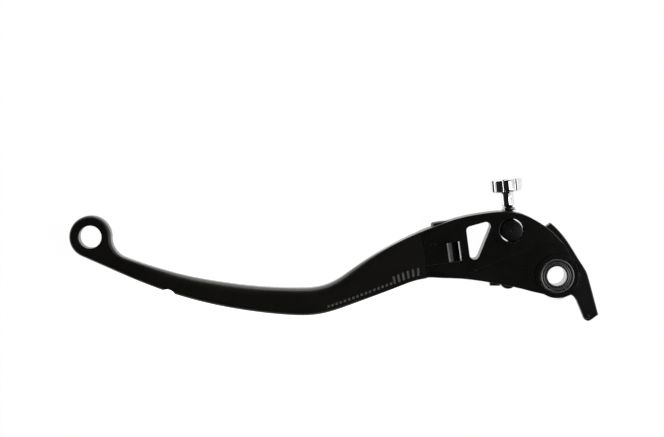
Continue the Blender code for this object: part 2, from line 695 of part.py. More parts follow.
def lug_cutter():
    """Everything outside the rounded upper end of the fork lugs, in the hinge frame."""
    rim = arc(0.0, 0.0, LUG_ROUND, math.radians(180), math.radians(130), 10)
    loop = [(-14.0, 0.0)] + rim + [(rim[-1][0], 14.0), (-14.0, 14.0)]
    return plate("cut_lug_round", loop[::-1], -16, 16, None, CUTTERS, UPRIGHT)


def hole(name, radius, low, high, matrix, segments=FINE, top=None):
    """Cutting cylinder along local Z of a frame."""
    return cylinder(name, radius, low, high, None, CUTTERS, matrix, segments, top)


HERE = Matrix.Identity(4)
NUT_AT = Matrix.Translation(Vector((*NUT_XY, 0.0)) * MM)
cut(knuckle, *jaw_cutters("cut_jaw_top", 1), *jaw_cutters("cut_jaw_bottom", -1))
join(knuckle, turned("knuckle_boss", ring_profile(BOSS_RADIUS - 3.5, BOSS_RADIUS, -BOSS_HALF, BOSS_HALF,
                                           BOSS_CHAMFER),
                     None, HERE, 48, CUTTERS))
cut(knuckle,
    plate("cut_arm_slot", ARM_VOID, -SLOT_HALF, SLOT_HALF, None, CUTTERS),
    box("cut_fork_slot", (-16, SLOT_REAR_V, -12), (SLOT_FLOOR_U, SLOT_FRONT_V, 12), None, CUTTERS, FOLD),
    lug_cutter(),
    plate("cut_window", rounded_polygon(WINDOW), -12, 12, None, CUTTERS),
    hole("cut_hinge_hole", BOLT_RADIUS + FIT, -14, 14, FOLD_AXIS, COARSE),
    hole("cut_head_seat", HEAD_RADIUS + GAP, HEAD_SEAT_V, 18, FOLD_AXIS, 28),
    hole("cut_nut_seat", NUT_RADIUS + GAP, -16, NUT_SEAT_V, FOLD_AXIS, 28),
    hole("cut_detent_hole", DETENT_BALL_R + FIT, 4, 12, DETENT, 16),
    hole("cut_grub_hole", 1.35 + FIT, 7.9, 12, DETENT, COARSE),
    hole("cut_nut_bore", BARREL_BORE, -12, 12, NUT_AT, FINE),
    hole("cut_nut_mouth_top", BARREL_BORE, KNUCKLE_HALF - BARREL_MOUTH, KNUCKLE_HALF + 0.05, NUT_AT, FINE,
         BARREL_BORE + BARREL_MOUTH + 0.05),
    hole("cut_nut_mouth_bottom", BARREL_BORE + BARREL_MOUTH + 0.05, -KNUCKLE_HALF - 0.05,
         -KNUCKLE_HALF + BARREL_MOUTH, NUT_AT, FINE, BARREL_BORE),
    hole("cut_jaw_dimple", JAW_DIMPLE[2], KNUCKLE_HALF - JAW_DIMPLE[3], KNUCKLE_HALF + 1.0,
         Matrix.Translation(Vector((JAW_DIMPLE[0], JAW_DIMPLE[1], 0)) * MM), 12),
    hole("cut_screw_way", SCREW_RADIUS + 0.9, -12, 14, SCREW, COARSE),
    hole("cut_bearing_seats", RACE_RADIUS + FIT, -12, 12, HERE, 48))

# ---------------------------------------------------------------- pivot bearings
for side, label in ((1, "upper"), (-1, "lower")):
    mid = side * (RACE_Z + RACE_WIDTH / 2)
    low = mid - RACE_WIDTH / 2
    high = mid + RACE_WIDTH / 2
    turned(label + "_outer_race", ring_profile(OUTER_RACE_IN, RACE_RADIUS, low, high, 0.2), "bearing_steel", HERE,
           RING_STEPS)
    turned(label + "_inner_race", ring_profile(BORE_RADIUS, INNER_RACE_OUT, low, high, 0.15), "bearing_steel",
           HERE, RING_STEPS)
    cage = turned(label + "_ball_cage", ring_profile(BALL_TRACK - CAGE_HALF, BALL_TRACK + CAGE_HALF,
                                                     mid - CAGE_HALF, mid + CAGE_HALF), "bearing_steel", HERE, 36)
    for k in range(BALL_COUNT):
        ang = math.tau * k / BALL_COUNT
        spot = (BALL_TRACK * math.cos(ang), BALL_TRACK * math.sin(ang), mid)
        join(cage, sphere(label + "_ball_%d" % (k + 1), BALL_RADIUS, spot, None, CUTTERS, HERE, 8))
    for place, sign in (("outer", side), ("inner", -side)):
        face = mid + sign * (RACE_WIDTH / 2 - 0.25)
        ends = sorted((face, face - sign * 0.35))
        turned(label + "_bearing_" + place + "_shield",
               ring_profile(INNER_RACE_OUT + FIT, OUTER_RACE_IN - FIT, ends[0], ends[1]), "shield_grey",
               HERE, RING_STEPS)
turned("pivot_sleeve", ring_profile(BORE_RADIUS, SLEEVE_RADIUS, -RACE_Z + GAP, RACE_Z - GAP),
       "bearing_steel", HERE, RING_STEPS)
turned("arm_bush", ring_profile(SLEEVE_RADIUS + GAP, ARM_BUSH_RADIUS, -ARM_HALF + 0.05, ARM_HALF - 0.05),
       "bronze", HERE, RING_STEPS)


# ---------------------------------------------------------------- push arm
def arm_outline():
    """Outline of the push arm, anticlockwise from the end of its tail."""
    tail = ARM_TAIL[:2] + smooth_run(ARM_TAIL[2:11], 2) + ARM_TAIL[11:]
    hub = arc(0, 0, ARM_HUB_RADIUS, math.atan2(-7.1, -5.2), math.atan2(-7.6, 4.9), 10)
    return tail + ARM_LIMB[:-1] + hub + smooth_run(ARM_HOOK, 1)


arm = rounded_plate("push_arm", arm_outline(), lambda i: 0.35, lambda x: ARM_HALF, "arm_anodised", rings=1,
                    fill_step=40.0)
SEAT_TOP = SCREW_TIP + 1.15                    # front face of the thrust seat along the screw axis
ROD_AT = Matrix.Translation(Vector((*ROD_BARREL_XY, 0.0)) * MM)
PIN_AT = Matrix.Translation(Vector((*TAIL_PIN_XY, 0.0)) * MM)
cut(arm,
    hole("cut_arm_bore", ARM_BUSH_RADIUS + FIT, -9, 9, HERE, FINE),
    hole("cut_rod_pocket", ROD_BARREL_RADIUS + GAP, -9, 9, ROD_AT, FINE),
    hole("cut_seat_pocket", 2.2 + FIT, SEAT_TOP - 3.0, SEAT_TOP + 2.2, SCREW, COARSE),
    hole("cut_pin_hole", TAIL_PIN_RADIUS + FIT, -9, 9, PIN_AT, 16))

turned("thrust_seat", [(0.0, SEAT_TOP + 1.9), (2.0, SEAT_TOP + 1.9), (2.2, SEAT_TOP + 1.7), (2.2, SEAT_TOP + 0.5),
                       (1.9, SEAT_TOP), (1.3, SEAT_TOP), (0.0, SEAT_TOP + 0.5)], "bearing_steel", SCREW, COARSE)

rod = cylinder("pushrod_barrel", ROD_BARREL_RADIUS, -ARM_HALF + 0.1, ARM_HALF - 0.1, "black_steel", PARTS, ROD_AT,
               FINE)
ROD_WAY = ROD_AT @ Matrix.Rotation(math.pi / 2, 4, "X")
cut(rod, hole("cut_rod_socket", ROD_SOCKET_RADIUS, 0.4, 6.0, ROD_WAY, COARSE))
turned("tail_pin", [(0.0, ARM_HALF + 0.25), (TAIL_PIN_RADIUS - 0.2, ARM_HALF + 0.25),
                    (TAIL_PIN_RADIUS, ARM_HALF + 0.05), (TAIL_PIN_RADIUS, -ARM_HALF - 0.05),
                    (TAIL_PIN_RADIUS - 0.2, -ARM_HALF - 0.25), (0.0, -ARM_HALF - 0.25)],
       "bearing_steel", PIN_AT, 16)

# ---------------------------------------------------------------- reach adjuster
nut_body = turned("barrel_nut", [
    (0.0, BARREL_NUT_HALF - 0.3), (0.45, BARREL_NUT_HALF), (BARREL_NUT_RADIUS - 0.35, BARREL_NUT_HALF),
    (BARREL_NUT_RADIUS, BARREL_NUT_HALF - 0.35), (BARREL_NUT_RADIUS, -BARREL_NUT_HALF + 0.35),
    (BARREL_NUT_RADIUS - 0.35, -BARREL_NUT_HALF), (0.0, -BARREL_NUT_HALF)], "black_steel", NUT_AT)
cut(nut_body, hole("cut_nut_tapping", SCREW_RADIUS + FIT, -9, 9, SCREW, COARSE))
turned("adjuster_screw", [
    (0.0, SCREW_TIP), (SCREW_RADIUS - 0.6, SCREW_TIP), (SCREW_RADIUS, SCREW_TIP - 0.6),
    (SCREW_RADIUS, STEM_REAR - 3.0), (0.0, STEM_REAR - 3.0)], "black_steel", SCREW, COARSE)
turned("thrust_foot", [(0.0, SCREW_TIP + 1.2), (0.9, SCREW_TIP + 0.85), (1.5, SCREW_TIP + 0.75),
                       (1.6, SCREW_TIP + 0.6), (1.6, SCREW_TIP + 0.35), (1.4, SCREW_TIP + GAP),
                       (0.0, SCREW_TIP + GAP)],
       "bearing_steel", SCREW, COARSE)


def knob_profile():
    """Knob head, coned underside and stem, running from the rear of the stem to the head's face."""
    stem_front = STEM_REAR - STEM_LENGTH
    face = stem_front - KNOB_LENGTH
    return [(SCREW_RADIUS + FIT, STEM_REAR), (STEM_RADIUS - 0.3, STEM_REAR), (STEM_RADIUS, STEM_REAR - 0.3),
            (STEM_RADIUS, stem_front), (KNOB_RADIUS - 1.3, stem_front - 0.45), (KNOB_RADIUS, stem_front - 1.1),
            (KNOB_RADIUS, face + 0.5), (KNOB_RADIUS - 0.5, face), (0.0, face), (0.0, STEM_REAR - 3.0 - FIT),
            (SCREW_RADIUS + FIT, STEM_REAR - 3.0 - FIT)]


def knob():
    """Fluted thumb knob: a turned blank with evenly spaced flutes."""
    mesh = bpy.data.meshes.new("adjuster_knob")
    profile = knob_profile()
    verts = [(r * MM, 0.0, z * MM) for r, z in profile]
    edges = [(i, i + 1) for i in range(8)] + [(9, 10), (10, 0)]
    mesh.from_pydata(verts, edges, [])
    obj = bpy.data.objects.new("adjuster_knob", mesh)
    obj.matrix_world = SCREW
    finish(obj, "polished_steel")
    mod = obj.modifiers.new("turn", "SCREW")
    mod.axis = "Z"
    mod.steps = 48
    mod.render_steps = 48
    mod.use_merge_vertices = True
    mod.merge_threshold = 0.00001
    for k in range(KNOB_FLUTES):
        ang = math.tau * k / KNOB_FLUTES + FLUTE_PHASE
        spot = Matrix.Translation(Vector((math.cos(ang), math.sin(ang), 0)) * (KNOB_RADIUS + FLUTE_OUT) * MM)
        cut(obj, hole("cut_flute_%d" % (k + 1), FLUTE_RADIUS, -24, -14, SCREW @ spot, 14))
    return obj


knob()
coil("adjuster_spring", (SCREW_RADIUS + 0.45, SCREW_RADIUS + 1.0), 0.24, -9.45, -8.1, 1.9, "spring_steel",
     SCREW, 14)

# ---------------------------------------------------------------- joint axes
for label, spot in (("pivot_axis", (0, 0, 0)), ("nut_axis", (*NUT_XY, 0)), ("rod_axis", (*ROD_BARREL_XY, 0)),
                    ("fold_axis", (*FOLD_POINT, 0))):
    empty = bpy.data.objects.new(label, None)
    empty.location = Vector(spot) * MM
    empty.empty_display_size = 0.01
    PARTS.objects.link(empty)
bpy.context.view_layer.update()
for child, holder in (("finger_blade", "fold_axis"), ("fold_hinge_bush", "fold_axis"), ("barrel_nut", "nut_axis"),
                      ("adjuster_screw", "nut_axis"), ("adjuster_knob", "nut_axis"),
                      ("adjuster_spring", "nut_axis"), ("thrust_foot", "nut_axis"), ("push_arm", "pivot_axis"),
                      ("lever_knuckle", "pivot_axis"), ("pushrod_barrel", "rod_axis")):
    piece = bpy.data.objects[child]
    frame = bpy.data.objects[holder]
    piece.parent = frame
    piece.matrix_parent_inverse = frame.matrix_world.inverted()
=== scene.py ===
"""Looks, light and camera for the folding clutch lever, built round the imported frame.

Positions are in millimetres in the CAD frame: origin on the pivot axis, +Z up along it,
+Y towards the front of the motorcycle, -X out along the blade. MM scales them to metres.
"""
import json
import math

import bmesh
import bpy
import numpy as np
from mathutils import Matrix, Vector, geometry

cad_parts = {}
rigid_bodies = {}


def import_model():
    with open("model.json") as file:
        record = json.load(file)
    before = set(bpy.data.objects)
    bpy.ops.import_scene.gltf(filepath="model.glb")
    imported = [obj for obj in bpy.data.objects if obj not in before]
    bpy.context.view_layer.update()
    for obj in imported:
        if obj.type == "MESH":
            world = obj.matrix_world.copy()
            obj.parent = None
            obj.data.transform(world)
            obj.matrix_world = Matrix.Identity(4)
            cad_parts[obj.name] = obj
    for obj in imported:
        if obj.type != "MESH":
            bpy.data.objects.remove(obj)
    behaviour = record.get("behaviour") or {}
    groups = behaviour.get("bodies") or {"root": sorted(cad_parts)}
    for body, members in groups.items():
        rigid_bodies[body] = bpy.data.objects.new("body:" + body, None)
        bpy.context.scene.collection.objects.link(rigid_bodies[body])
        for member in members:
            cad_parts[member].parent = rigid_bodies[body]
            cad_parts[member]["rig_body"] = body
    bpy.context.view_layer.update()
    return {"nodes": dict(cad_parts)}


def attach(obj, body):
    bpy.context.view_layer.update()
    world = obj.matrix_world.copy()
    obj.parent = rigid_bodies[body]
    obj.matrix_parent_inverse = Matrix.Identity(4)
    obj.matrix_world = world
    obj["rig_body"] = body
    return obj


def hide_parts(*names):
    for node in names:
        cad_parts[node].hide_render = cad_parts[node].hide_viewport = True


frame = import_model()
NODES = frame["nodes"]

MM = 0.001
GRAIN_DEPTH = 0.00002            # height of the grain's relief, metres
MERGE = 0.000002                 # points closer than this are one, metres
SHORTEST_EDGE = 0.00004          # shorter edges are dissolved before bevelling, metres
FLAT_ANGLE = 0.4                 # degrees, faces closer to level than this are merged
SHARP_ANGLE = 32.0               # degrees, edges sharper than this stay sharp in shading
BEVEL_ANGLE = 28.0               # degrees, edges sharper than this are broken
BORE_MATCH = 0.06                # how near a wall's points have to be to a bore's radius
UPRIGHT = 0.3                    # largest z of the normal of a wall that counts as upright

# ---------------------------------------------------------------- shapes that repeat the CAD
# blade edges seen from above, as (x, y) stations of its front and rear edge
BLADE_FRONT = [(-182.0, 9.55), (-175.6, 7.2), (-162.5, 3.05), (-149.4, -0.25), (-136.3, -2.55),
               (-123.2, -4.1), (-110.0, -4.75), (-103.5, -4.8), (-96.9, -4.1), (-90.4, -1.5),
               (-83.8, 3.0), (-77.2, 7.4), (-64.1, 14.5), (-54.3, 18.9), (-44.0, 22.8)]
BLADE_REAR = [(-183.0, 3.1), (-175.6, -0.2), (-162.5, -5.4), (-149.4, -9.5), (-136.3, -12.5),
              (-123.2, -14.6), (-110.0, -15.9), (-103.5, -16.1), (-96.9, -15.5), (-83.8, -11.5),
              (-64.1, -4.0), (-57.6, -1.7), (-54.3, -1.0), (-47.0, 0.6)]
BLADE_HALF = [(-200.0, 4.6), (-178.0, 4.8), (-140.0, 5.9), (-100.0, 6.6), (-54.0, 6.9)]
FRONT_ROUND = 3.4
REAR_ROUND = 1.8
TIP_CENTRE = (-191.3, 16.2)
TIP_RADIUS = 8.64
TIP_HOLE = 4.65
TIP_HOLE_ROUND = 0.5
TIP_ROUND = 1.5
TIP_BLEND = (-150.0, 25.0)       # start and length of the change to the tip's rounding
SHOULDER_EDGE = 0.6              # rounding at the shoulder
SHOULDER_BLEND = (-90.0, 28.0)   # start and length of the change to the shoulder's
NECK_X = -175.6
NECK_FILLET = 8.6
NECK_STEPS = 24
TIP_STEPS = 90
HOLE_STEPS = 72
BREAK_NOTCH = (-159.8, -8.8, 3.5)  # centre and radius
FOLD_POINT = (-46.25, 9.7)
FOLD_YAW = math.radians(7.6)
SEAM_SEARCH = (-70.0, -40.0)     # x range that holds the seam between blade and knuckle
SHOULDER_U = -7.0                # end of the plate before the joint faces are cut
SHOULDER_ROUND = 10.6            # upper shoulder, concentric with the hinge
SHOULDER_HEEL_U = -10.8
HEEL_BLOCK = (14.0, 40.0, 12.0)  # size of the block that cuts the heel
TONGUE_V = (-4.1, 3.6)           # rear and front side of the hinge tongue
TONGUE_ROOT = (-13.0, -8.2, 6.7)  # start, shoulder end and height of the tongue's top
TONGUE_NOSE = (1.35, 6.5)        # end and height of its flat
TONGUE_BOTTOM = -6.7
TONGUE_FOOT_U = 0.4              # end of its level underside
TONGUE_RADIUS = 6.57
TONGUE_RIM = (-86.0, 70.5)       # degrees, start and end of its rounded end
BUSH_SEAT = 3.75
DETENT = (-5.2, -4.9, -3.2, 1.3)  # dimple's place in the fold frame, then its radius
BLADE_STEP = 0.9                 # spacing of outline points on the finished blade
FILL_STEP = 3.0                  # spacing of points inside its flat faces
EDGE_RINGS = 8                   # rings of points round each rounded rim

# plain etched marks near the blade's rear edge
MARK_DEPTH = 0.12
MARK_CUT = 1.5                   # height of the solids that cut the marks
DASH_COUNT = 16
DASH_START = -93.0
DASH_STEP = 1.72
DASH_LENGTH = 1.05
DASH_HEIGHT = 1.0
DASH_INSET = 1.9
DASH_LEAN = 0.35
BAR_COUNT = 6
BAR_START = -65.6
BAR_STEP = 1.85
BAR_WIDTH = 0.95
BAR_HEIGHT = 3.1
BAR_INSET = 1.7
BAR_LEAN = 0.5

# reach adjuster, measured along the screw's axis rearwards from the barrel nut
NUT_XY = (-18.6, 18.7)
SCREW_RADIUS = 1.9
SCREW_PITCH = 0.7
THREAD_DEPTH = 0.38
THREAD_STEPS = 8                 # rings of points in each turn
SCREW_TIP_CHAMFER = 0.6
SCREW_END_CHAMFER = 0.3
SCREW_TIP = 8.1
SCREW_END = -13.0
SCREW_AXIS = (0.0956, -0.9954, 0.0)
FIT = 0.15                       # play round the screw in its holes
STEM_REAR = -10.0
STEM_RADIUS = 2.6
STEM_LENGTH = 5.2
STEM_CORNER = 0.25
STEM_SIDE = 0.6                  # its straight side starts this far from its end
STEM_FLARE = 0.1                 # it is this much wider where it meets the knob
KNOB_RADIUS = 6.5
KNOB_LENGTH = 5.7
KNOB_CORNER = 0.62
KNOB_UNDERSIDE = [(1.3, 0.42), (0.35, 0.8), (0.08, 0.98), (0.0, 1.2)]  # in from the rim, past the stem
KNOB_SIDE = (1.6, 0.2)           # its straight side ends this far from the stem and from its corner
KNOB_STEPS = 480
FACE_STEP = (1.2, 1.6, 0.12)     # sunk middle of the face: start and end of its slope from the rim, depth
FACE_RING = 2.0
KNOB_FLUTES = 8
FLUTE_RADIUS = 0.7
FLUTE_OUT = 0.2                  # flute centres stand this far outside the knob
FLUTE_REACH = 1.0                # flutes are cut this far in from the rim at most
FLUTE_PHASE = math.radians(13.5)
NUT_RADIUS = 4.38
NUT_BORE = 4.85
NUT_HALF = 6.9
NUT_CORNER = 0.3
NUT_STEPS = 120
NUT_CENTRE_MARK = [(0.0, 0.3), (0.3, 0.14), (0.5, 0.0)]  # drill point: radius, depth

# pivot bearings
RACE_BORE = 4.0
RACE_INNER_OUT = 5.0
RACE_OUTER_IN = 6.1
RACE_OUT = 7.0
RACE_WIDTH = 3.5
RACE_Z = 3.7
SEAL_INNER = 5.04
SEAL_OUTER = 5.80
SHIELD_SUNK = 0.25
SHIELD_THICK = 0.35
SHIELD_CORNER = 0.08
OUTER_RACE_CORNER = 0.16
INNER_RACE_CORNER = 0.14
RACE_STEPS = 120


# ---------------------------------------------------------------- material nodes
def new_material(name):
    mat = bpy.data.materials.new(name)
    mat.use_nodes = True
    tree = mat.node_tree
    return mat, tree, tree.nodes["Principled BSDF"]


def node(tree, kind, **values):
    """New node with sockets or properties set by name."""
    made = tree.nodes.new(kind)
    for key, value in values.items():
        if key in made.inputs:
            made.inputs[key].default_value = value
        else:
            setattr(made, key, value)
    return made


def noise(tree, coords, scale, detail=4.0, roughness=0.6):
    made = node(tree, "ShaderNodeTexNoise", Scale=scale, Detail=detail, Roughness=roughness)
    tree.links.new(coords, made.inputs["Vector"])
    return made.outputs["Fac"]


def ramp(tree, source, stops):
    """Colour ramp of (position, value) stops, where a value is a grey level or a colour."""
    made = tree.nodes.new("ShaderNodeValToRGB")
    elements = made.color_ramp.elements
    while len(elements) < len(stops):
        elements.new(0.5)
    for element, (place, value) in zip(elements, stops):
        element.position = place
        rgb = (value,) * 3 if isinstance(value, float) else value
        element.color = (*rgb, 1.0)
    tree.links.new(source, made.inputs["Fac"])
    return made.outputs["Color"]


def surface(name, dark, light, rough, fine, broad, bump, metallic):
    """Grainy surface: broad variation of colour and gloss over a fine relief.

    dark and light are the ends of the colour variation and rough those of the roughness; fine and
    broad are the noise scales of the relief and of the variation.
    """
    mat, tree, shader = new_material(name)
    coords = node(tree, "ShaderNodeTexCoord").outputs["Object"]
    grain = noise(tree, coords, fine)
    cloud = noise(tree, coords, broad, 3.0, 0.55)
    tree.links.new(ramp(tree, cloud, [(0.32, dark), (0.68, light)]), shader.inputs["Base Color"])
    tree.links.new(ramp(tree, cloud, [(0.3, rough[0]), (0.7, rough[1])]), shader.inputs["Roughness"])
    relief = node(tree, "ShaderNodeBump", Strength=bump, Distance=GRAIN_DEPTH)
    tree.links.new(grain, relief.inputs["Height"])
    tree.links.new(relief.outputs["Normal"], shader.inputs["Normal"])
    shader.inputs["Metallic"].default_value = metallic
    return mat


# dark and light colour, roughness range, scales of grain and cloud, bump, metallic
FINISHES = {
    "blade": ((0.0134, 0.0123, 0.0096), (0.0168, 0.0155, 0.0125), (0.28, 0.34), 2600.0, 70.0, 0.35, 0.0),
    # knuckle and arm are the same black anodised aluminium as the blade; their darker colours are painted
    # shade, set to offset the stronger light they catch
    "knuckle": ((0.0042, 0.0037, 0.0026), (0.0060, 0.0054, 0.0040), (0.26, 0.33), 2600.0, 90.0, 0.35, 0.0),
    "arm": ((0.0030, 0.0029, 0.0022), (0.0044, 0.0042, 0.0033), (0.30, 0.38), 2200.0, 120.0, 0.4, 0.0),
    # bore: a lighter, glossier copy of the black anodised finish; on the knuckle's nut-bore wall its lighter
    # colour is a painted highlight, on the blade's hinge tongue it stays near the blade's own tone
    "bore": ((0.014, 0.0135, 0.013), (0.018, 0.0175, 0.0165), (0.07, 0.11), 1500.0, 200.0, 0.02, 0.0),
    "chrome": ((0.74, 0.74, 0.75), (0.86, 0.86, 0.87), (0.05, 0.09), 1500.0, 200.0, 0.03, 1.0),
    "black_steel": ((0.0085, 0.0082, 0.0080), (0.012, 0.0118, 0.0115), (0.26, 0.36), 1800.0, 300.0, 0.2,
                    0.0),
    # darker, matte copy of the nut's black steel: its matte gloss is a finish, and its darker colour is
    # painted shade for the nut's side wall down in the bore gap
    "shaded_matte_steel": ((0.005, 0.005, 0.005), (0.008, 0.008, 0.008), (0.80, 0.90), 1800.0, 300.0, 0.2, 0.0),
    "bearing": ((0.42, 0.42, 0.43), (0.56, 0.56, 0.57), (0.20, 0.30), 3000.0, 350.0, 0.08, 1.0),
    "race_outer": ((0.34, 0.34, 0.35), (0.40, 0.40, 0.41), (0.28, 0.31), 1200.0, 160.0, 0.01, 1.0),
    "race_inner": ((0.24, 0.24, 0.25), (0.30, 0.30, 0.31), (0.24, 0.27), 1200.0, 160.0, 0.01, 1.0),
    "shield": ((0.30, 0.30, 0.305), (0.36, 0.36, 0.365), (0.30, 0.34), 1200.0, 160.0, 0.02, 1.0),
    "spring": ((0.40, 0.40, 0.41), (0.58, 0.58, 0.60), (0.18, 0.28), 1500.0, 400.0, 0.1, 1.0),
    "bronze": ((0.40, 0.26, 0.12), (0.56, 0.39, 0.19), (0.34, 0.50), 1500.0, 300.0, 0.2, 1.0),
    "etched": ((0.24, 0.24, 0.236), (0.32, 0.32, 0.315), (0.55, 0.70), 4000.0, 300.0, 0.4, 0.0),
}
LOOKS = {label: surface("look_" + label, *values) for label, values in FINISHES.items()}

NODE_LOOKS = {
    "finger_blade": "blade", "lever_knuckle": "knuckle", "push_arm": "arm", "adjuster_knob": "chrome",
    "adjuster_screw": "black_steel", "adjuster_spring": "spring", "barrel_nut": "black_steel",
    "fold_hinge_bolt": "black_steel", "fold_hinge_nut": "black_steel", "fold_hinge_bush": "bronze",
    "detent_ball": "bearing", "detent_spring": "spring", "detent_grub_screw": "black_steel",
    "pushrod_barrel": "black_steel", "tail_pin": "black_steel", "thrust_foot": "bearing",
    "thrust_seat": "bearing", "arm_bush": "bronze", "pivot_sleeve": "bearing",
}
for side in ("upper", "lower"):
    for ending, look in (("outer_race", "bearing"), ("inner_race", "bearing"), ("ball_cage", "bearing"),
                         ("bearing_outer_shield", "shield"), ("bearing_inner_shield", "shield")):
        NODE_LOOKS[side + "_" + ending] = look
for label, look in NODE_LOOKS.items():
    for slot in NODES[label].material_slots:
        slot.material = LOOKS[look]


# ---------------------------------------------------------------- piece helpers
def shade(obj):
    obj.data.shade_smooth()
    obj.data.set_sharp_from_angle(angle=math.radians(SHARP_ANGLE))


def piece(name, mesh, look, stands_for, matrix=None):
    """Visible piece that stands for CAD nodes and rides with the first of them.

    matrix places a mesh made in its own frame. It is written into the mesh.
    """
    if matrix is not None:
        mesh.transform(matrix)
    obj = bpy.data.objects.new(name, mesh)
    bpy.context.scene.collection.objects.link(obj)
    if not obj.data.materials:
        obj.data.materials.append(LOOKS[look])
    shade(obj)
    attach(obj, NODES[stands_for[0]]["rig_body"])
    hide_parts(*stands_for)
    return obj


def cutter(name, bm, matrix=None, look=None):
    """Helper solid for a Boolean, from a bmesh in millimetres, removed once it is applied."""
    bmesh.ops.scale(bm, vec=(MM, MM, MM), verts=bm.verts)
    mesh = bpy.data.meshes.new(name)
    bm.to_mesh(mesh)
    bm.free()
    obj = bpy.data.objects.new(name, mesh)
    bpy.context.scene.collection.objects.link(obj)
    if matrix is not None:
        obj.matrix_world = matrix
    if look:
        mesh.materials.append(LOOKS[look])
    return obj


def apply_booleans(obj, steps):
    """Apply (operation, helper) Booleans to an unparented object's mesh and remove the helpers."""
    for operation, helper in steps:
        mod = obj.modifiers.new("shape", "BOOLEAN")
        mod.operation = operation
        mod.solver = "EXACT"
        mod.material_mode = "TRANSFER"
        mod.object = helper
    bpy.context.view_layer.update()
    graph = bpy.context.evaluated_depsgraph_get()
    mesh = bpy.data.meshes.new_from_object(obj.evaluated_get(graph))
    obj.modifiers.clear()
    obj.data = mesh
    for _, helper in steps:
        bpy.data.objects.remove(helper, do_unlink=True)


def rod(low, high, radius, segments=64):
    """Cylinder along local Z."""
    bm = bmesh.new()
    bmesh.ops.create_cone(bm, cap_ends=True, segments=segments, radius1=radius, radius2=radius,
                          depth=high - low)
    bmesh.ops.translate(bm, vec=(0, 0, (high + low) / 2), verts=bm.verts)
    return bm


def lathe(profile, segments, shape=None):
    """Mesh turned about local Z from a closed profile of (radius, z), run down its outer side.

    shape(radius, z, angle) may return another radius, for flutes or threads.
    """
    bm = bmesh.new()
    rings = []
    for radius, z in profile:
        if radius < 1e-6:
            rings.append([bm.verts.new((0, 0, z))])
            continue
        ring = []
        for k in range(segments):
            ang = math.tau * k / segments
            r = shape(radius, z, ang) if shape else radius
            ring.append(bm.verts.new((r * math.cos(ang), r * math.sin(ang), z)))
        rings.append(ring)
    closed = profile[0][0] > 1e-6
    pairs = list(zip(rings, rings[1:])) + ([(rings[-1], rings[0])] if closed else [])
    for upper, lower in pairs:
        for k in range(segments):
            j = (k + 1) % segments
            corners = [upper[k % len(upper)], lower[k % len(lower)],
                       lower[j % len(lower)], upper[j % len(upper)]]
            unique = [v for i, v in enumerate(corners) if v not in corners[:i]]
            if len(unique) > 2:
                bm.faces.new(unique)
    return bm


def to_mesh(bm, name):
    bmesh.ops.scale(bm, vec=(MM, MM, MM), verts=bm.verts)
    bmesh.ops.recalc_face_normals(bm, faces=bm.faces)
    mesh = bpy.data.meshes.new(name)
    bm.to_mesh(mesh)
    bm.free()
    return mesh


def refined(label, name, width):
    """CAD node rebuilt as a finished piece: merged, with its sharp edges broken by a small bevel."""
    bm = bmesh.new()
    bm.from_mesh(NODES[label].data)
    bmesh.ops.remove_doubles(bm, verts=bm.verts, dist=MERGE)
    bmesh.ops.dissolve_degenerate(bm, dist=SHORTEST_EDGE, edges=bm.edges)
    bmesh.ops.dissolve_limit(bm, angle_limit=math.radians(FLAT_ANGLE), verts=bm.verts, edges=bm.edges)
    mesh = bpy.data.meshes.new(name)
    bm.to_mesh(mesh)
    bm.free()
    obj = piece(name, mesh, NODE_LOOKS[label], [label])
    mod = obj.modifiers.new("broken edges", "BEVEL")
    mod.width = width * MM
    mod.segments = 2
    mod.limit_method = "ANGLE"
    mod.angle_limit = math.radians(BEVEL_ANGLE)
    mod.harden_normals = True
    mod.miter_outer = "MITER_ARC"
    mod.use_clamp_overlap = False
    even = obj.modifiers.new("flat faces", "WEIGHTED_NORMAL")
    even.keep_sharp = True
    return obj


def line_bore(obj, centre, radius, look):
    """Give the upright wall at a radius round a centre its own look. Centre and radius are in metres."""
    obj.data.materials.append(LOOKS[look])
    for face in obj.data.polygons:
        spread = [(obj.data.vertices[i].co.xy - centre).length for i in face.vertices]
        if max(abs(r - radius) for r in spread) < BORE_MATCH * MM and abs(face.normal.z) < UPRIGHT:
            face.material_index = len(obj.data.materials) - 1


# ---------------------------------------------------------------- curve maths
def natural_spline(points):
    """Natural cubic through (x, y) stations, returned as y(x)."""
    x = np.array([p[0] for p in points], float)
    y = np.array([p[1] for p in points], float)
    n = len(x)
    h = np.diff(x)
    a = np.eye(n)
    b = np.zeros(n)
    for i in range(1, n - 1):
        a[i, i - 1:i + 2] = (h[i - 1], 2 * (h[i - 1] + h[i]), h[i])
        b[i] = 6 * ((y[i + 1] - y[i]) / h[i] - (y[i] - y[i - 1]) / h[i - 1])
    m = np.linalg.solve(a, b)

    def value(t):
        i = int(min(max(np.searchsorted(x, t) - 1, 0), n - 2))
        p = (x[i + 1] - t) / h[i]
        q = (t - x[i]) / h[i]
        bend = ((p ** 3 - p) * m[i] + (q ** 3 - q) * m[i + 1]) * h[i] ** 2 / 6
        return float(p * y[i] + q * y[i + 1] + bend)

    return value


def arc(cx, cy, radius, start, end, count):
    """Points on an arc, angles in radians, both ends included."""
    return [(cx + radius * math.cos(start + (end - start) * i / count),
             cy + radius * math.sin(start + (end - start) * i / count)) for i in range(count + 1)]


def seam_x(edge, target_u):
    """X where an edge function crosses a line square to the lever at the fold hinge."""
    low, high = SEAM_SEARCH
    for _ in range(50):
        mid = (low + high) / 2
        u = (mid - FOLD_POINT[0]) * math.cos(FOLD_YAW) + (edge(mid) - FOLD_POINT[1]) * math.sin(FOLD_YAW)
        low, high = (mid, high) if u < target_u else (low, mid)
    return (low + high) / 2


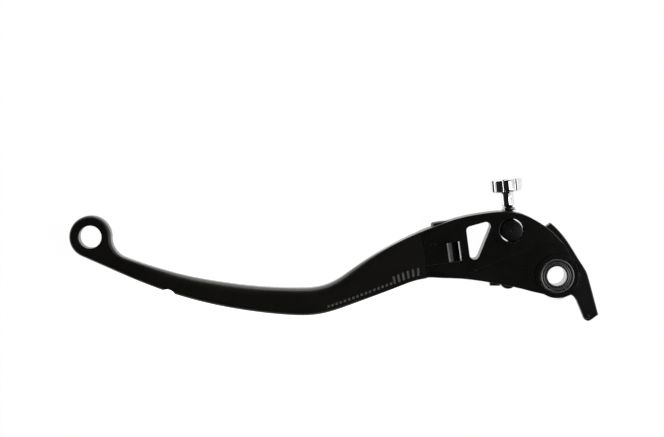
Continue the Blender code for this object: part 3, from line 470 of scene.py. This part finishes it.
def inside(point, loop):
    """Whether a point lies inside a closed outline."""
    px, py = point[0], point[1]
    hit = False
    for (x0, y0), (x1, y1) in zip(loop, loop[1:] + loop[:1]):
        if (y0 > py) != (y1 > py) and px < (x1 - x0) * (py - y0) / (y1 - y0) + x0:
            hit = not hit
    return hit


# ---------------------------------------------------------------- finger blade
front_y = natural_spline(BLADE_FRONT)
rear_y = natural_spline(BLADE_REAR)
blade_half = natural_spline(BLADE_HALF)


def blade_outline():
    """Outline of the blade with its ringed tip, anticlockwise, and the kind of edge at each point."""
    x_front = seam_x(front_y, SHOULDER_U)
    x_rear = seam_x(rear_y, SHOULDER_U)
    slope = front_y(NECK_X + 0.5) - front_y(NECK_X - 0.5)
    along = Vector((-1.0, -slope)).normalized()
    up = Vector((along.y, -along.x))
    tip = Vector(TIP_CENTRE)
    rel = Vector((NECK_X, front_y(NECK_X))) + up * NECK_FILLET - tip
    reach = TIP_RADIUS + NECK_FILLET
    b = rel.dot(along)
    centre = tip + rel + along * (-b - math.sqrt(b * b - rel.length_squared + reach * reach))
    to_tip = tip - centre
    a_start = math.atan2(-up.y, -up.x)
    turn = (math.atan2(to_tip.y, to_tip.x) - a_start + math.pi) % math.tau - math.pi
    ring_start = math.atan2(-to_tip.y, -to_tip.x)
    rear_slope = rear_y(BLADE_REAR[0][0] + 1.0) - rear_y(BLADE_REAR[0][0])
    ring_turn = (math.atan2(-1.0, rear_slope) - ring_start) % math.tau
    runs = []
    count = round((x_front - NECK_X) / BLADE_STEP)
    xs = [x_front + (NECK_X - x_front) * i / count for i in range(count + 1)]
    runs.append(("front", [(x, front_y(x)) for x in xs]))
    runs.append(("neck", arc(centre.x, centre.y, NECK_FILLET, a_start, a_start + turn, NECK_STEPS)[1:]))
    runs.append(("tip", arc(tip.x, tip.y, TIP_RADIUS, ring_start, ring_start + ring_turn, TIP_STEPS)[1:]))
    x_end = BLADE_REAR[0][0]
    count = round((x_rear - x_end) / BLADE_STEP)
    xs = [x_end + (x_rear - x_end) * i / count for i in range(count + 1)]
    runs.append(("rear", [(x, rear_y(x)) for x in xs]))
    return [(kind, p) for kind, run in runs for p in run]


def ease(t):
    t = min(max(t, 0.0), 1.0)
    return t * t * (3 - 2 * t)


def blade_round(kind, x):
    """Edge rounding: generous on the finger side, even round the ring, small at the shoulder."""
    if kind in ("tip", "neck"):
        return TIP_ROUND
    full = FRONT_ROUND if kind == "front" else REAR_ROUND
    value = full + (TIP_ROUND - full) * ease((TIP_BLEND[0] - x) / TIP_BLEND[1])
    return value + (SHOULDER_EDGE - value) * ease((x - SHOULDER_BLEND[0]) / SHOULDER_BLEND[1])


def rounded_plate(loops, half_height):
    """Solid symmetric about z = 0 with rounded rims, from loops of (x, y, rounding); the first is outside."""
    bm = bmesh.new()
    caps = []
    for loop in loops:
        total = len(loop)
        pts = [Vector(p[:2]) for p in loop]
        normals = []
        for i in range(total):
            ahead = (pts[(i + 1) % total] - pts[i]).normalized()
            back = (pts[i] - pts[i - 1]).normalized()
            edge_dir = (ahead + back).normalized()
            normals.append(Vector((-edge_dir.y, edge_dir.x)) / max(edge_dir.dot(ahead), 0.5))
        stack = []
        for sign in (-1, 1):
            for k in range(EDGE_RINGS + 1):
                phi = math.pi / 2 * (k / EDGE_RINGS if sign > 0 else 1 - k / EDGE_RINGS)
                ring = []
                for p, normal, (_, _, radius) in zip(pts, normals, loop):
                    spot = p + normal * radius * (1 - math.cos(phi))
                    height = half_height(spot.x) - radius * (1 - math.sin(phi))
                    ring.append(bm.verts.new((spot.x, spot.y, sign * height)))
                stack.append(ring)
        for lower, upper in zip(stack, stack[1:]):
            for i in range(total):
                j = (i + 1) % total
                bm.faces.new((lower[i], lower[j], upper[j], upper[i]))
        caps.append((stack[0], stack[-1]))
    for side in (0, 1):
        rim = [v for cap in caps for v in cap[side]]
        flat = [Vector((v.co.x, v.co.y)) for v in rim]
        outlines = []
        edges = []
        start = 0
        for cap in caps:
            size = len(cap[side])
            edges += [(start + i, start + (i + 1) % size) for i in range(size)]
            outlines.append([(p.x, p.y) for p in flat[start:start + size]])
            start += size
        cloud = np.array([(p.x, p.y) for p in flat])
        points = list(flat)
        for x in np.arange(cloud[:, 0].min() + FILL_STEP, cloud[:, 0].max(), FILL_STEP):
            for y in np.arange(cloud[:, 1].min() + FILL_STEP, cloud[:, 1].max(), FILL_STEP):
                clear = np.hypot(cloud[:, 0] - x, cloud[:, 1] - y).min() > FILL_STEP * 0.4
                if clear and inside((x, y), outlines[0]) and not any(inside((x, y), o) for o in outlines[1:]):
                    points.append(Vector((x, y)))
        cdt = geometry.delaunay_2d_cdt(points, edges, [], 0, 1e-5)
        made = []
        for co, origin in zip(cdt[0], cdt[3]):
            ids = [k for k in origin if k < len(rim)]
            height = half_height(co.x) * (1 if side else -1)
            made.append(rim[ids[0]] if ids else bm.verts.new((co.x, co.y, height)))
        for tri in cdt[2]:
            middle = (cdt[0][tri[0]] + cdt[0][tri[1]] + cdt[0][tri[2]]) / 3
            if inside(middle, outlines[0]) and not any(inside(middle, o) for o in outlines[1:]):
                bm.faces.new([made[k] for k in tri])
    return bm


FOLD = Matrix.Translation(Vector((*FOLD_POINT, 0)) * MM) @ Matrix.Rotation(FOLD_YAW, 4, "Z")
FOLD_AXIS = FOLD @ Matrix.Rotation(-math.pi / 2, 4, "X")


def tongue_block():
    """Hinge tongue of the blade, its rounded end turned about the hinge axis, in the fold frame."""
    rim = arc(0.0, 0.0, TONGUE_RADIUS, *(math.radians(a) for a in TONGUE_RIM), 48)
    start, shoulder, top = TONGUE_ROOT
    side = [(start, TONGUE_BOTTOM), (TONGUE_FOOT_U, TONGUE_BOTTOM)] + rim
    side += [TONGUE_NOSE, (shoulder, top), (start, top)]
    bm = bmesh.new()
    near = [bm.verts.new((u, TONGUE_V[0], w)) for u, w in side]
    far = [bm.verts.new((u, TONGUE_V[1], w)) for u, w in side]
    bm.faces.new(near)
    bm.faces.new(far[::-1])
    for i in range(len(side)):
        j = (i + 1) % len(side)
        bm.faces.new((near[i], far[i], far[j], near[j]))
    bmesh.ops.recalc_face_normals(bm, faces=bm.faces)
    return bm


def mark_cutters():
    """Plain etched marks along the rear edge: a row of short dashes, then slanted bars. In millimetres."""
    bm = bmesh.new()

    def bar(x, inset, length, height, lean):
        slope = math.atan(rear_y(x + 0.5) - rear_y(x - 0.5))
        turn = Matrix.Rotation(slope, 4, "Z")
        base = Vector((x, rear_y(x), 0)) + turn @ Vector((0, inset, 0))
        floor_z = blade_half(x) - MARK_DEPTH
        foot = [(-length / 2, 0), (length / 2, 0), (length / 2 + lean, height), (-length / 2 + lean, height)]
        low = [bm.verts.new(base + turn @ Vector((a, b, 0)) + Vector((0, 0, floor_z))) for a, b in foot]
        high = [bm.verts.new(v.co + Vector((0, 0, MARK_CUT))) for v in low]
        bm.faces.new(low[::-1])
        bm.faces.new(high)
        for i in range(4):
            j = (i + 1) % 4
            bm.faces.new((low[i], low[j], high[j], high[i]))

    for k in range(DASH_COUNT):
        bar(DASH_START + DASH_STEP * k, DASH_INSET, DASH_LENGTH, DASH_HEIGHT, DASH_LEAN)
    for k in range(BAR_COUNT):
        bar(BAR_START + BAR_STEP * k, BAR_INSET, BAR_WIDTH, BAR_HEIGHT, BAR_LEAN)
    bmesh.ops.recalc_face_normals(bm, faces=bm.faces)
    return bm


def finished_blade():
    """The blade at full finish, with its tongue, break notch, hinge bore and detent dimple."""
    outline = [(p[0], p[1], blade_round(kind, p[0])) for kind, p in blade_outline()]
    hole = [(x, y, TIP_HOLE_ROUND) for x, y in arc(*TIP_CENTRE, TIP_HOLE, 0.0, -math.tau, HOLE_STEPS)[:-1]]
    mesh = to_mesh(rounded_plate([outline, hole], blade_half), "blade_shell")
    mesh.materials.append(LOOKS["blade"])
    obj = bpy.data.objects.new("blade_shell", mesh)
    bpy.context.scene.collection.objects.link(obj)
    notch = Matrix.Translation(Vector((BREAK_NOTCH[0], BREAK_NOTCH[1], 0)) * MM)
    ball = bmesh.new()
    bmesh.ops.create_uvsphere(ball, u_segments=24, v_segments=16, radius=DETENT[3])
    spot = FOLD @ Matrix.Translation(Vector(DETENT[:3]) * MM)
    heel = bmesh.new()
    bmesh.ops.create_cube(heel, size=1.0)
    bmesh.ops.scale(heel, vec=HEEL_BLOCK, verts=heel.verts)
    bmesh.ops.translate(heel, vec=(SHOULDER_HEEL_U + HEEL_BLOCK[0] / 2, 0, -HEEL_BLOCK[2] / 2),
                        verts=heel.verts)
    apply_booleans(obj, [
        ("DIFFERENCE", cutter("shoulder", rod(-20, 20, SHOULDER_ROUND, 192), FOLD_AXIS, "blade")),
        ("DIFFERENCE", cutter("heel", heel, FOLD, "blade")),
        ("UNION", cutter("tongue", tongue_block(), FOLD, "bore")),
        ("DIFFERENCE", cutter("marks", mark_cutters(), None, "etched")),
        ("DIFFERENCE", cutter("notch", rod(-12, 12, BREAK_NOTCH[2]), notch, "blade")),
        ("DIFFERENCE", cutter("bore", rod(-9, 9, BUSH_SEAT), FOLD_AXIS, "blade")),
        ("DIFFERENCE", cutter("dimple", ball, spot, "blade"))])
    mesh = obj.data
    bpy.data.objects.remove(obj, do_unlink=True)
    shell = piece("blade_shell", mesh, "blade", ["finger_blade"])
    even = shell.modifiers.new("flat faces", "WEIGHTED_NORMAL")
    even.keep_sharp = True


finished_blade()

# ---------------------------------------------------------------- machined plates and hinge hardware
knuckle = refined("lever_knuckle", "knuckle_body", 0.14)
# the knuckle's nut-bore wall gets the lighter "bore" copy of its finish: a painted highlight on that wall
line_bore(knuckle, Vector(NUT_XY) * MM, NUT_BORE * MM, "bore")
refined("push_arm", "arm_plate", 0.12)
refined("fold_hinge_bolt", "hinge_bolt", 0.12)
refined("fold_hinge_nut", "hinge_nut", 0.15)
refined("pushrod_barrel", "rod_barrel", 0.15)
refined("tail_pin", "tail_pin_end", 0.06)


# ---------------------------------------------------------------- pivot bearings
def ring_section(inner, outer, low, high, radius):
    """Section of a ring with rounded corners, run down its outer side."""
    corners = [(outer - radius, high - radius, math.pi / 2), (outer - radius, low + radius, 0.0),
               (inner + radius, low + radius, -math.pi / 2), (inner + radius, high - radius, -math.pi)]
    section = []
    for r, z, start in corners:
        section += arc(r, z, radius, start, start - math.pi / 2, 3)
    return section


for side, label in ((1, "upper"), (-1, "lower")):
    outside = side * (RACE_Z + RACE_WIDTH)
    inside_z = side * RACE_Z
    low, high = sorted((outside, inside_z))
    for place, r_in, r_out, corner in (("outer", RACE_OUTER_IN, RACE_OUT, OUTER_RACE_CORNER),
                                       ("inner", RACE_BORE, RACE_INNER_OUT, INNER_RACE_CORNER)):
        name = label + "_" + place + "_ring"
        mesh = to_mesh(lathe(ring_section(r_in, r_out, low, high, corner), RACE_STEPS), name)
        piece(name, mesh, "race_" + place, [label + "_" + place + "_race"])
    for place, start in (("outer", outside - side * SHIELD_SUNK), ("inner", inside_z + side * SHIELD_SUNK)):
        end = start - side * SHIELD_THICK if place == "outer" else start + side * SHIELD_THICK
        z_low, z_high = sorted((start, end))
        name = label + "_" + place + "_seal"
        mesh = to_mesh(lathe(ring_section(SEAL_INNER, SEAL_OUTER, z_low, z_high, SHIELD_CORNER), RACE_STEPS),
                       name)
        piece(name, mesh, "shield", [label + "_bearing_" + place + "_shield"])

# ---------------------------------------------------------------- reach adjuster
NUT_AT = Matrix.Translation(Vector((*NUT_XY, 0)) * MM)
SCREW = NUT_AT @ Vector(SCREW_AXIS).to_track_quat("Z", "X").to_matrix().to_4x4()


def knob_section():
    """Knob and stem from the stem's rear end to the face, with rounded corners, (radius, z)."""
    front = STEM_REAR - STEM_LENGTH
    face = front - KNOB_LENGTH
    slope_start, slope_end, sunk = FACE_STEP
    section = [(SCREW_RADIUS + FIT, STEM_REAR)]
    section += arc(STEM_RADIUS - STEM_CORNER, STEM_REAR - STEM_CORNER, STEM_CORNER, math.pi / 2, 0.0, 3)
    section += [(STEM_RADIUS, z) for z in np.linspace(STEM_REAR - STEM_SIDE, front + STEM_CORNER, 4)]
    section += [(STEM_RADIUS + STEM_FLARE, front)]
    section += [(KNOB_RADIUS - inset, front - drop) for inset, drop in KNOB_UNDERSIDE]
    side = np.linspace(front - KNOB_SIDE[0], face + KNOB_CORNER + KNOB_SIDE[1], 5)
    section += [(KNOB_RADIUS, z) for z in side]
    section += arc(KNOB_RADIUS - KNOB_CORNER, face + KNOB_CORNER, KNOB_CORNER, 0.0, -math.pi / 2, 4)
    section += [(KNOB_RADIUS - slope_start, face)]
    section += [(radius, face + sunk) for radius in (KNOB_RADIUS - slope_end, FACE_RING, 0.0)]
    return section


def fluted(radius, z, angle):
    """Radius of the knob with its flutes scooped out."""
    if radius < KNOB_RADIUS - FLUTE_REACH or z > STEM_REAR - STEM_LENGTH:
        return radius
    step = math.tau / KNOB_FLUTES
    off = (angle - FLUTE_PHASE + step / 2) % step - step / 2
    centre = KNOB_RADIUS + FLUTE_OUT
    across = centre * math.sin(off)
    if abs(across) >= FLUTE_RADIUS:
        return radius
    return min(radius, centre * math.cos(off) - math.sqrt(FLUTE_RADIUS ** 2 - across ** 2))


piece("thumb_knob", to_mesh(lathe(knob_section(), KNOB_STEPS, fluted), "thumb_knob"), "chrome",
      ["adjuster_knob"], SCREW)


def threaded(radius, z, angle):
    """Radius of a 60 degree thread at a height and angle."""
    if radius < SCREW_RADIUS - 0.02:
        return radius
    place = (z / SCREW_PITCH + angle / math.tau) % 1.0
    return radius - THREAD_DEPTH * (1.0 - abs(2.0 * place - 1.0))


thread_z = np.arange(SCREW_TIP - SCREW_TIP_CHAMFER, SCREW_END + 0.05, -SCREW_PITCH / THREAD_STEPS)
screw_section = [(0.0, SCREW_TIP), (SCREW_RADIUS - SCREW_TIP_CHAMFER, SCREW_TIP)]
screw_section += [(SCREW_RADIUS, z) for z in thread_z]
screw_section += [(SCREW_RADIUS - SCREW_END_CHAMFER, SCREW_END), (0.0, SCREW_END)]
piece("reach_screw", to_mesh(lathe(screw_section, 32, threaded), "reach_screw"), "black_steel",
      ["adjuster_screw"], SCREW)

nut_section = [(radius, NUT_HALF - depth) for radius, depth in NUT_CENTRE_MARK]
nut_section += arc(NUT_RADIUS - NUT_CORNER, NUT_HALF - NUT_CORNER, NUT_CORNER, math.pi / 2, 0.0, 4)
nut_section += arc(NUT_RADIUS - NUT_CORNER, -NUT_HALF + NUT_CORNER, NUT_CORNER, 0.0, -math.pi / 2, 4)
nut_section += [(0.0, -NUT_HALF)]
blank = cutter("nut_blank", lathe(nut_section, NUT_STEPS), NUT_AT, "black_steel")
tapping = cutter("tapping", rod(-9, 9, SCREW_RADIUS + FIT, 48), SCREW, "black_steel")
apply_booleans(blank, [("DIFFERENCE", tapping)])
nut_mesh = blank.data
bpy.data.objects.remove(blank, do_unlink=True)
cross_nut = piece("cross_nut", nut_mesh, "black_steel", ["barrel_nut"], NUT_AT)
# the barrel nut's side wall, sunk in the gap of the bore, gets the darker matte copy of its steel: painted
# shade
line_bore(cross_nut, Vector(NUT_XY) * MM, NUT_RADIUS * MM, "shaded_matte_steel")

# ---------------------------------------------------------------- floor, camera and light
# everything from here on is in metres
FLOOR_Z = -0.012
TABLE_SIZE = 6.0
TABLE_GREY = 0.06
TABLE_GLOW = 0.985
GLOW = 1.3                       # extra glow of the table in front of the blade
GLOW_Y = (-0.025, 0.005)         # it rises towards the front between these,
GLOW_RIGHT = (-0.085, -0.055)    # ends on the right between these
GLOW_LEFT = (-0.182, -0.155)     # and on the left between these
VIEW_WIDTH = 0.2730              # width of the view at the lever's mid plane
VIEW_CENTRE = Vector((-0.0920, 0.02347, 0.0))
CAMERA_HEIGHT = 1.05
CAMERA_FORWARD = 0.045           # the camera stands a little in front of the lever
CAMERA_ROLL = -0.0018
SENSOR = 36.0                    # millimetres
# name, centre, the point it faces, size, radiance
SOFTBOXES = [("right_box", (1.8, 0.2, 2.5), (0.0, 0.2, 2.5), (3.6, 4.8), 0.85),
             ("right_strip", (1.55, 0.0, 1.66), (0.0, 0.0, 0.0), (0.12, 2.4), 3.6),
             ("front_box", (-0.1, 1.2, 0.12), (-0.1, 0.0, 0.0), (2.4, 0.26), 2.2)]
# brightness of the studio's surroundings by height: a bright band round the horizon, dark above
HORIZON = [(0.0, 0.95), (0.09, 0.95), (0.14, 0.02), (1.0, 0.012)]

bpy.ops.mesh.primitive_plane_add(size=TABLE_SIZE, location=(0, 0, FLOOR_Z))
floor = bpy.context.object
floor.name = "light_table"
mat, tree, shader = new_material("white_table")
shader.inputs["Base Color"].default_value = (TABLE_GREY, TABLE_GREY, TABLE_GREY, 1.0)
shader.inputs["Roughness"].default_value = 0.9
shader.inputs["Specular IOR Level"].default_value = 0.0
shader.inputs["Emission Color"].default_value = (1.0, 1.0, 1.0, 1.0)
spot = node(tree, "ShaderNodeTexCoord").outputs["Object"]
split = node(tree, "ShaderNodeSeparateXYZ")
tree.links.new(spot, split.inputs["Vector"])


def fade(axis, start, end, low, high):
    """Value that runs from low to high as a floor coordinate runs from start to end."""
    made = node(tree, "ShaderNodeMapRange")
    made.inputs["From Min"].default_value = start
    made.inputs["From Max"].default_value = end
    made.inputs["To Min"].default_value = low
    made.inputs["To Max"].default_value = high
    tree.links.new(split.outputs[axis], made.inputs["Value"])
    return made.outputs["Result"]


def product(first, second):
    """Output of a node that multiplies two others."""
    made = node(tree, "ShaderNodeMath", operation="MULTIPLY")
    tree.links.new(first, made.inputs[0])
    tree.links.new(second, made.inputs[1])
    return made.outputs["Value"]


glow = product(fade("Y", *GLOW_Y, 0.0, GLOW), fade("X", *GLOW_RIGHT, 1.0, 0.0))
glow = product(glow, fade("X", *GLOW_LEFT, 0.0, 1.0))
total = node(tree, "ShaderNodeMath", operation="ADD")
tree.links.new(glow, total.inputs[0])
total.inputs[1].default_value = TABLE_GLOW
tree.links.new(total.outputs["Value"], shader.inputs["Emission Strength"])
floor.data.materials.append(mat)

camera_data = bpy.data.cameras.new("camera")
camera_data.sensor_width = SENSOR
camera_data.lens = SENSOR * CAMERA_HEIGHT / VIEW_WIDTH
camera_data.clip_start = 0.01
camera_data.clip_end = 20.0
camera = bpy.data.objects.new("camera", camera_data)
camera.location = VIEW_CENTRE + Vector((0, CAMERA_FORWARD, CAMERA_HEIGHT))
camera.rotation_euler = (-math.atan2(CAMERA_FORWARD, CAMERA_HEIGHT), 0.0, CAMERA_ROLL)
bpy.context.scene.collection.objects.link(camera)
bpy.context.scene.camera = camera
bpy.context.scene.view_settings.view_transform = "Standard"


def softbox(name, centre, facing, size, radiance):
    """Rectangular soft light of an even radiance, facing a point."""
    light = bpy.data.lights.new(name, "AREA")
    light.shape = "RECTANGLE"
    light.size, light.size_y = size
    light.energy = radiance * math.pi * size[0] * size[1]
    lamp = bpy.data.objects.new(name, light)
    lamp.location = centre
    aim = Vector(facing) - Vector(centre)
    lamp.rotation_euler = aim.to_track_quat("-Z", "Y").to_euler()
    bpy.context.scene.collection.objects.link(lamp)


for box in SOFTBOXES:
    softbox(*box)

world = bpy.data.worlds.new("studio")
bpy.context.scene.world = world
world.use_nodes = True
sky = world.node_tree
direction = node(sky, "ShaderNodeTexCoord").outputs["Generated"]
split = node(sky, "ShaderNodeSeparateXYZ")
sky.links.new(direction, split.inputs["Vector"])
horizon = ramp(sky, split.outputs["Z"], HORIZON)
sky.links.new(horizon, sky.nodes["Background"].inputs["Color"])
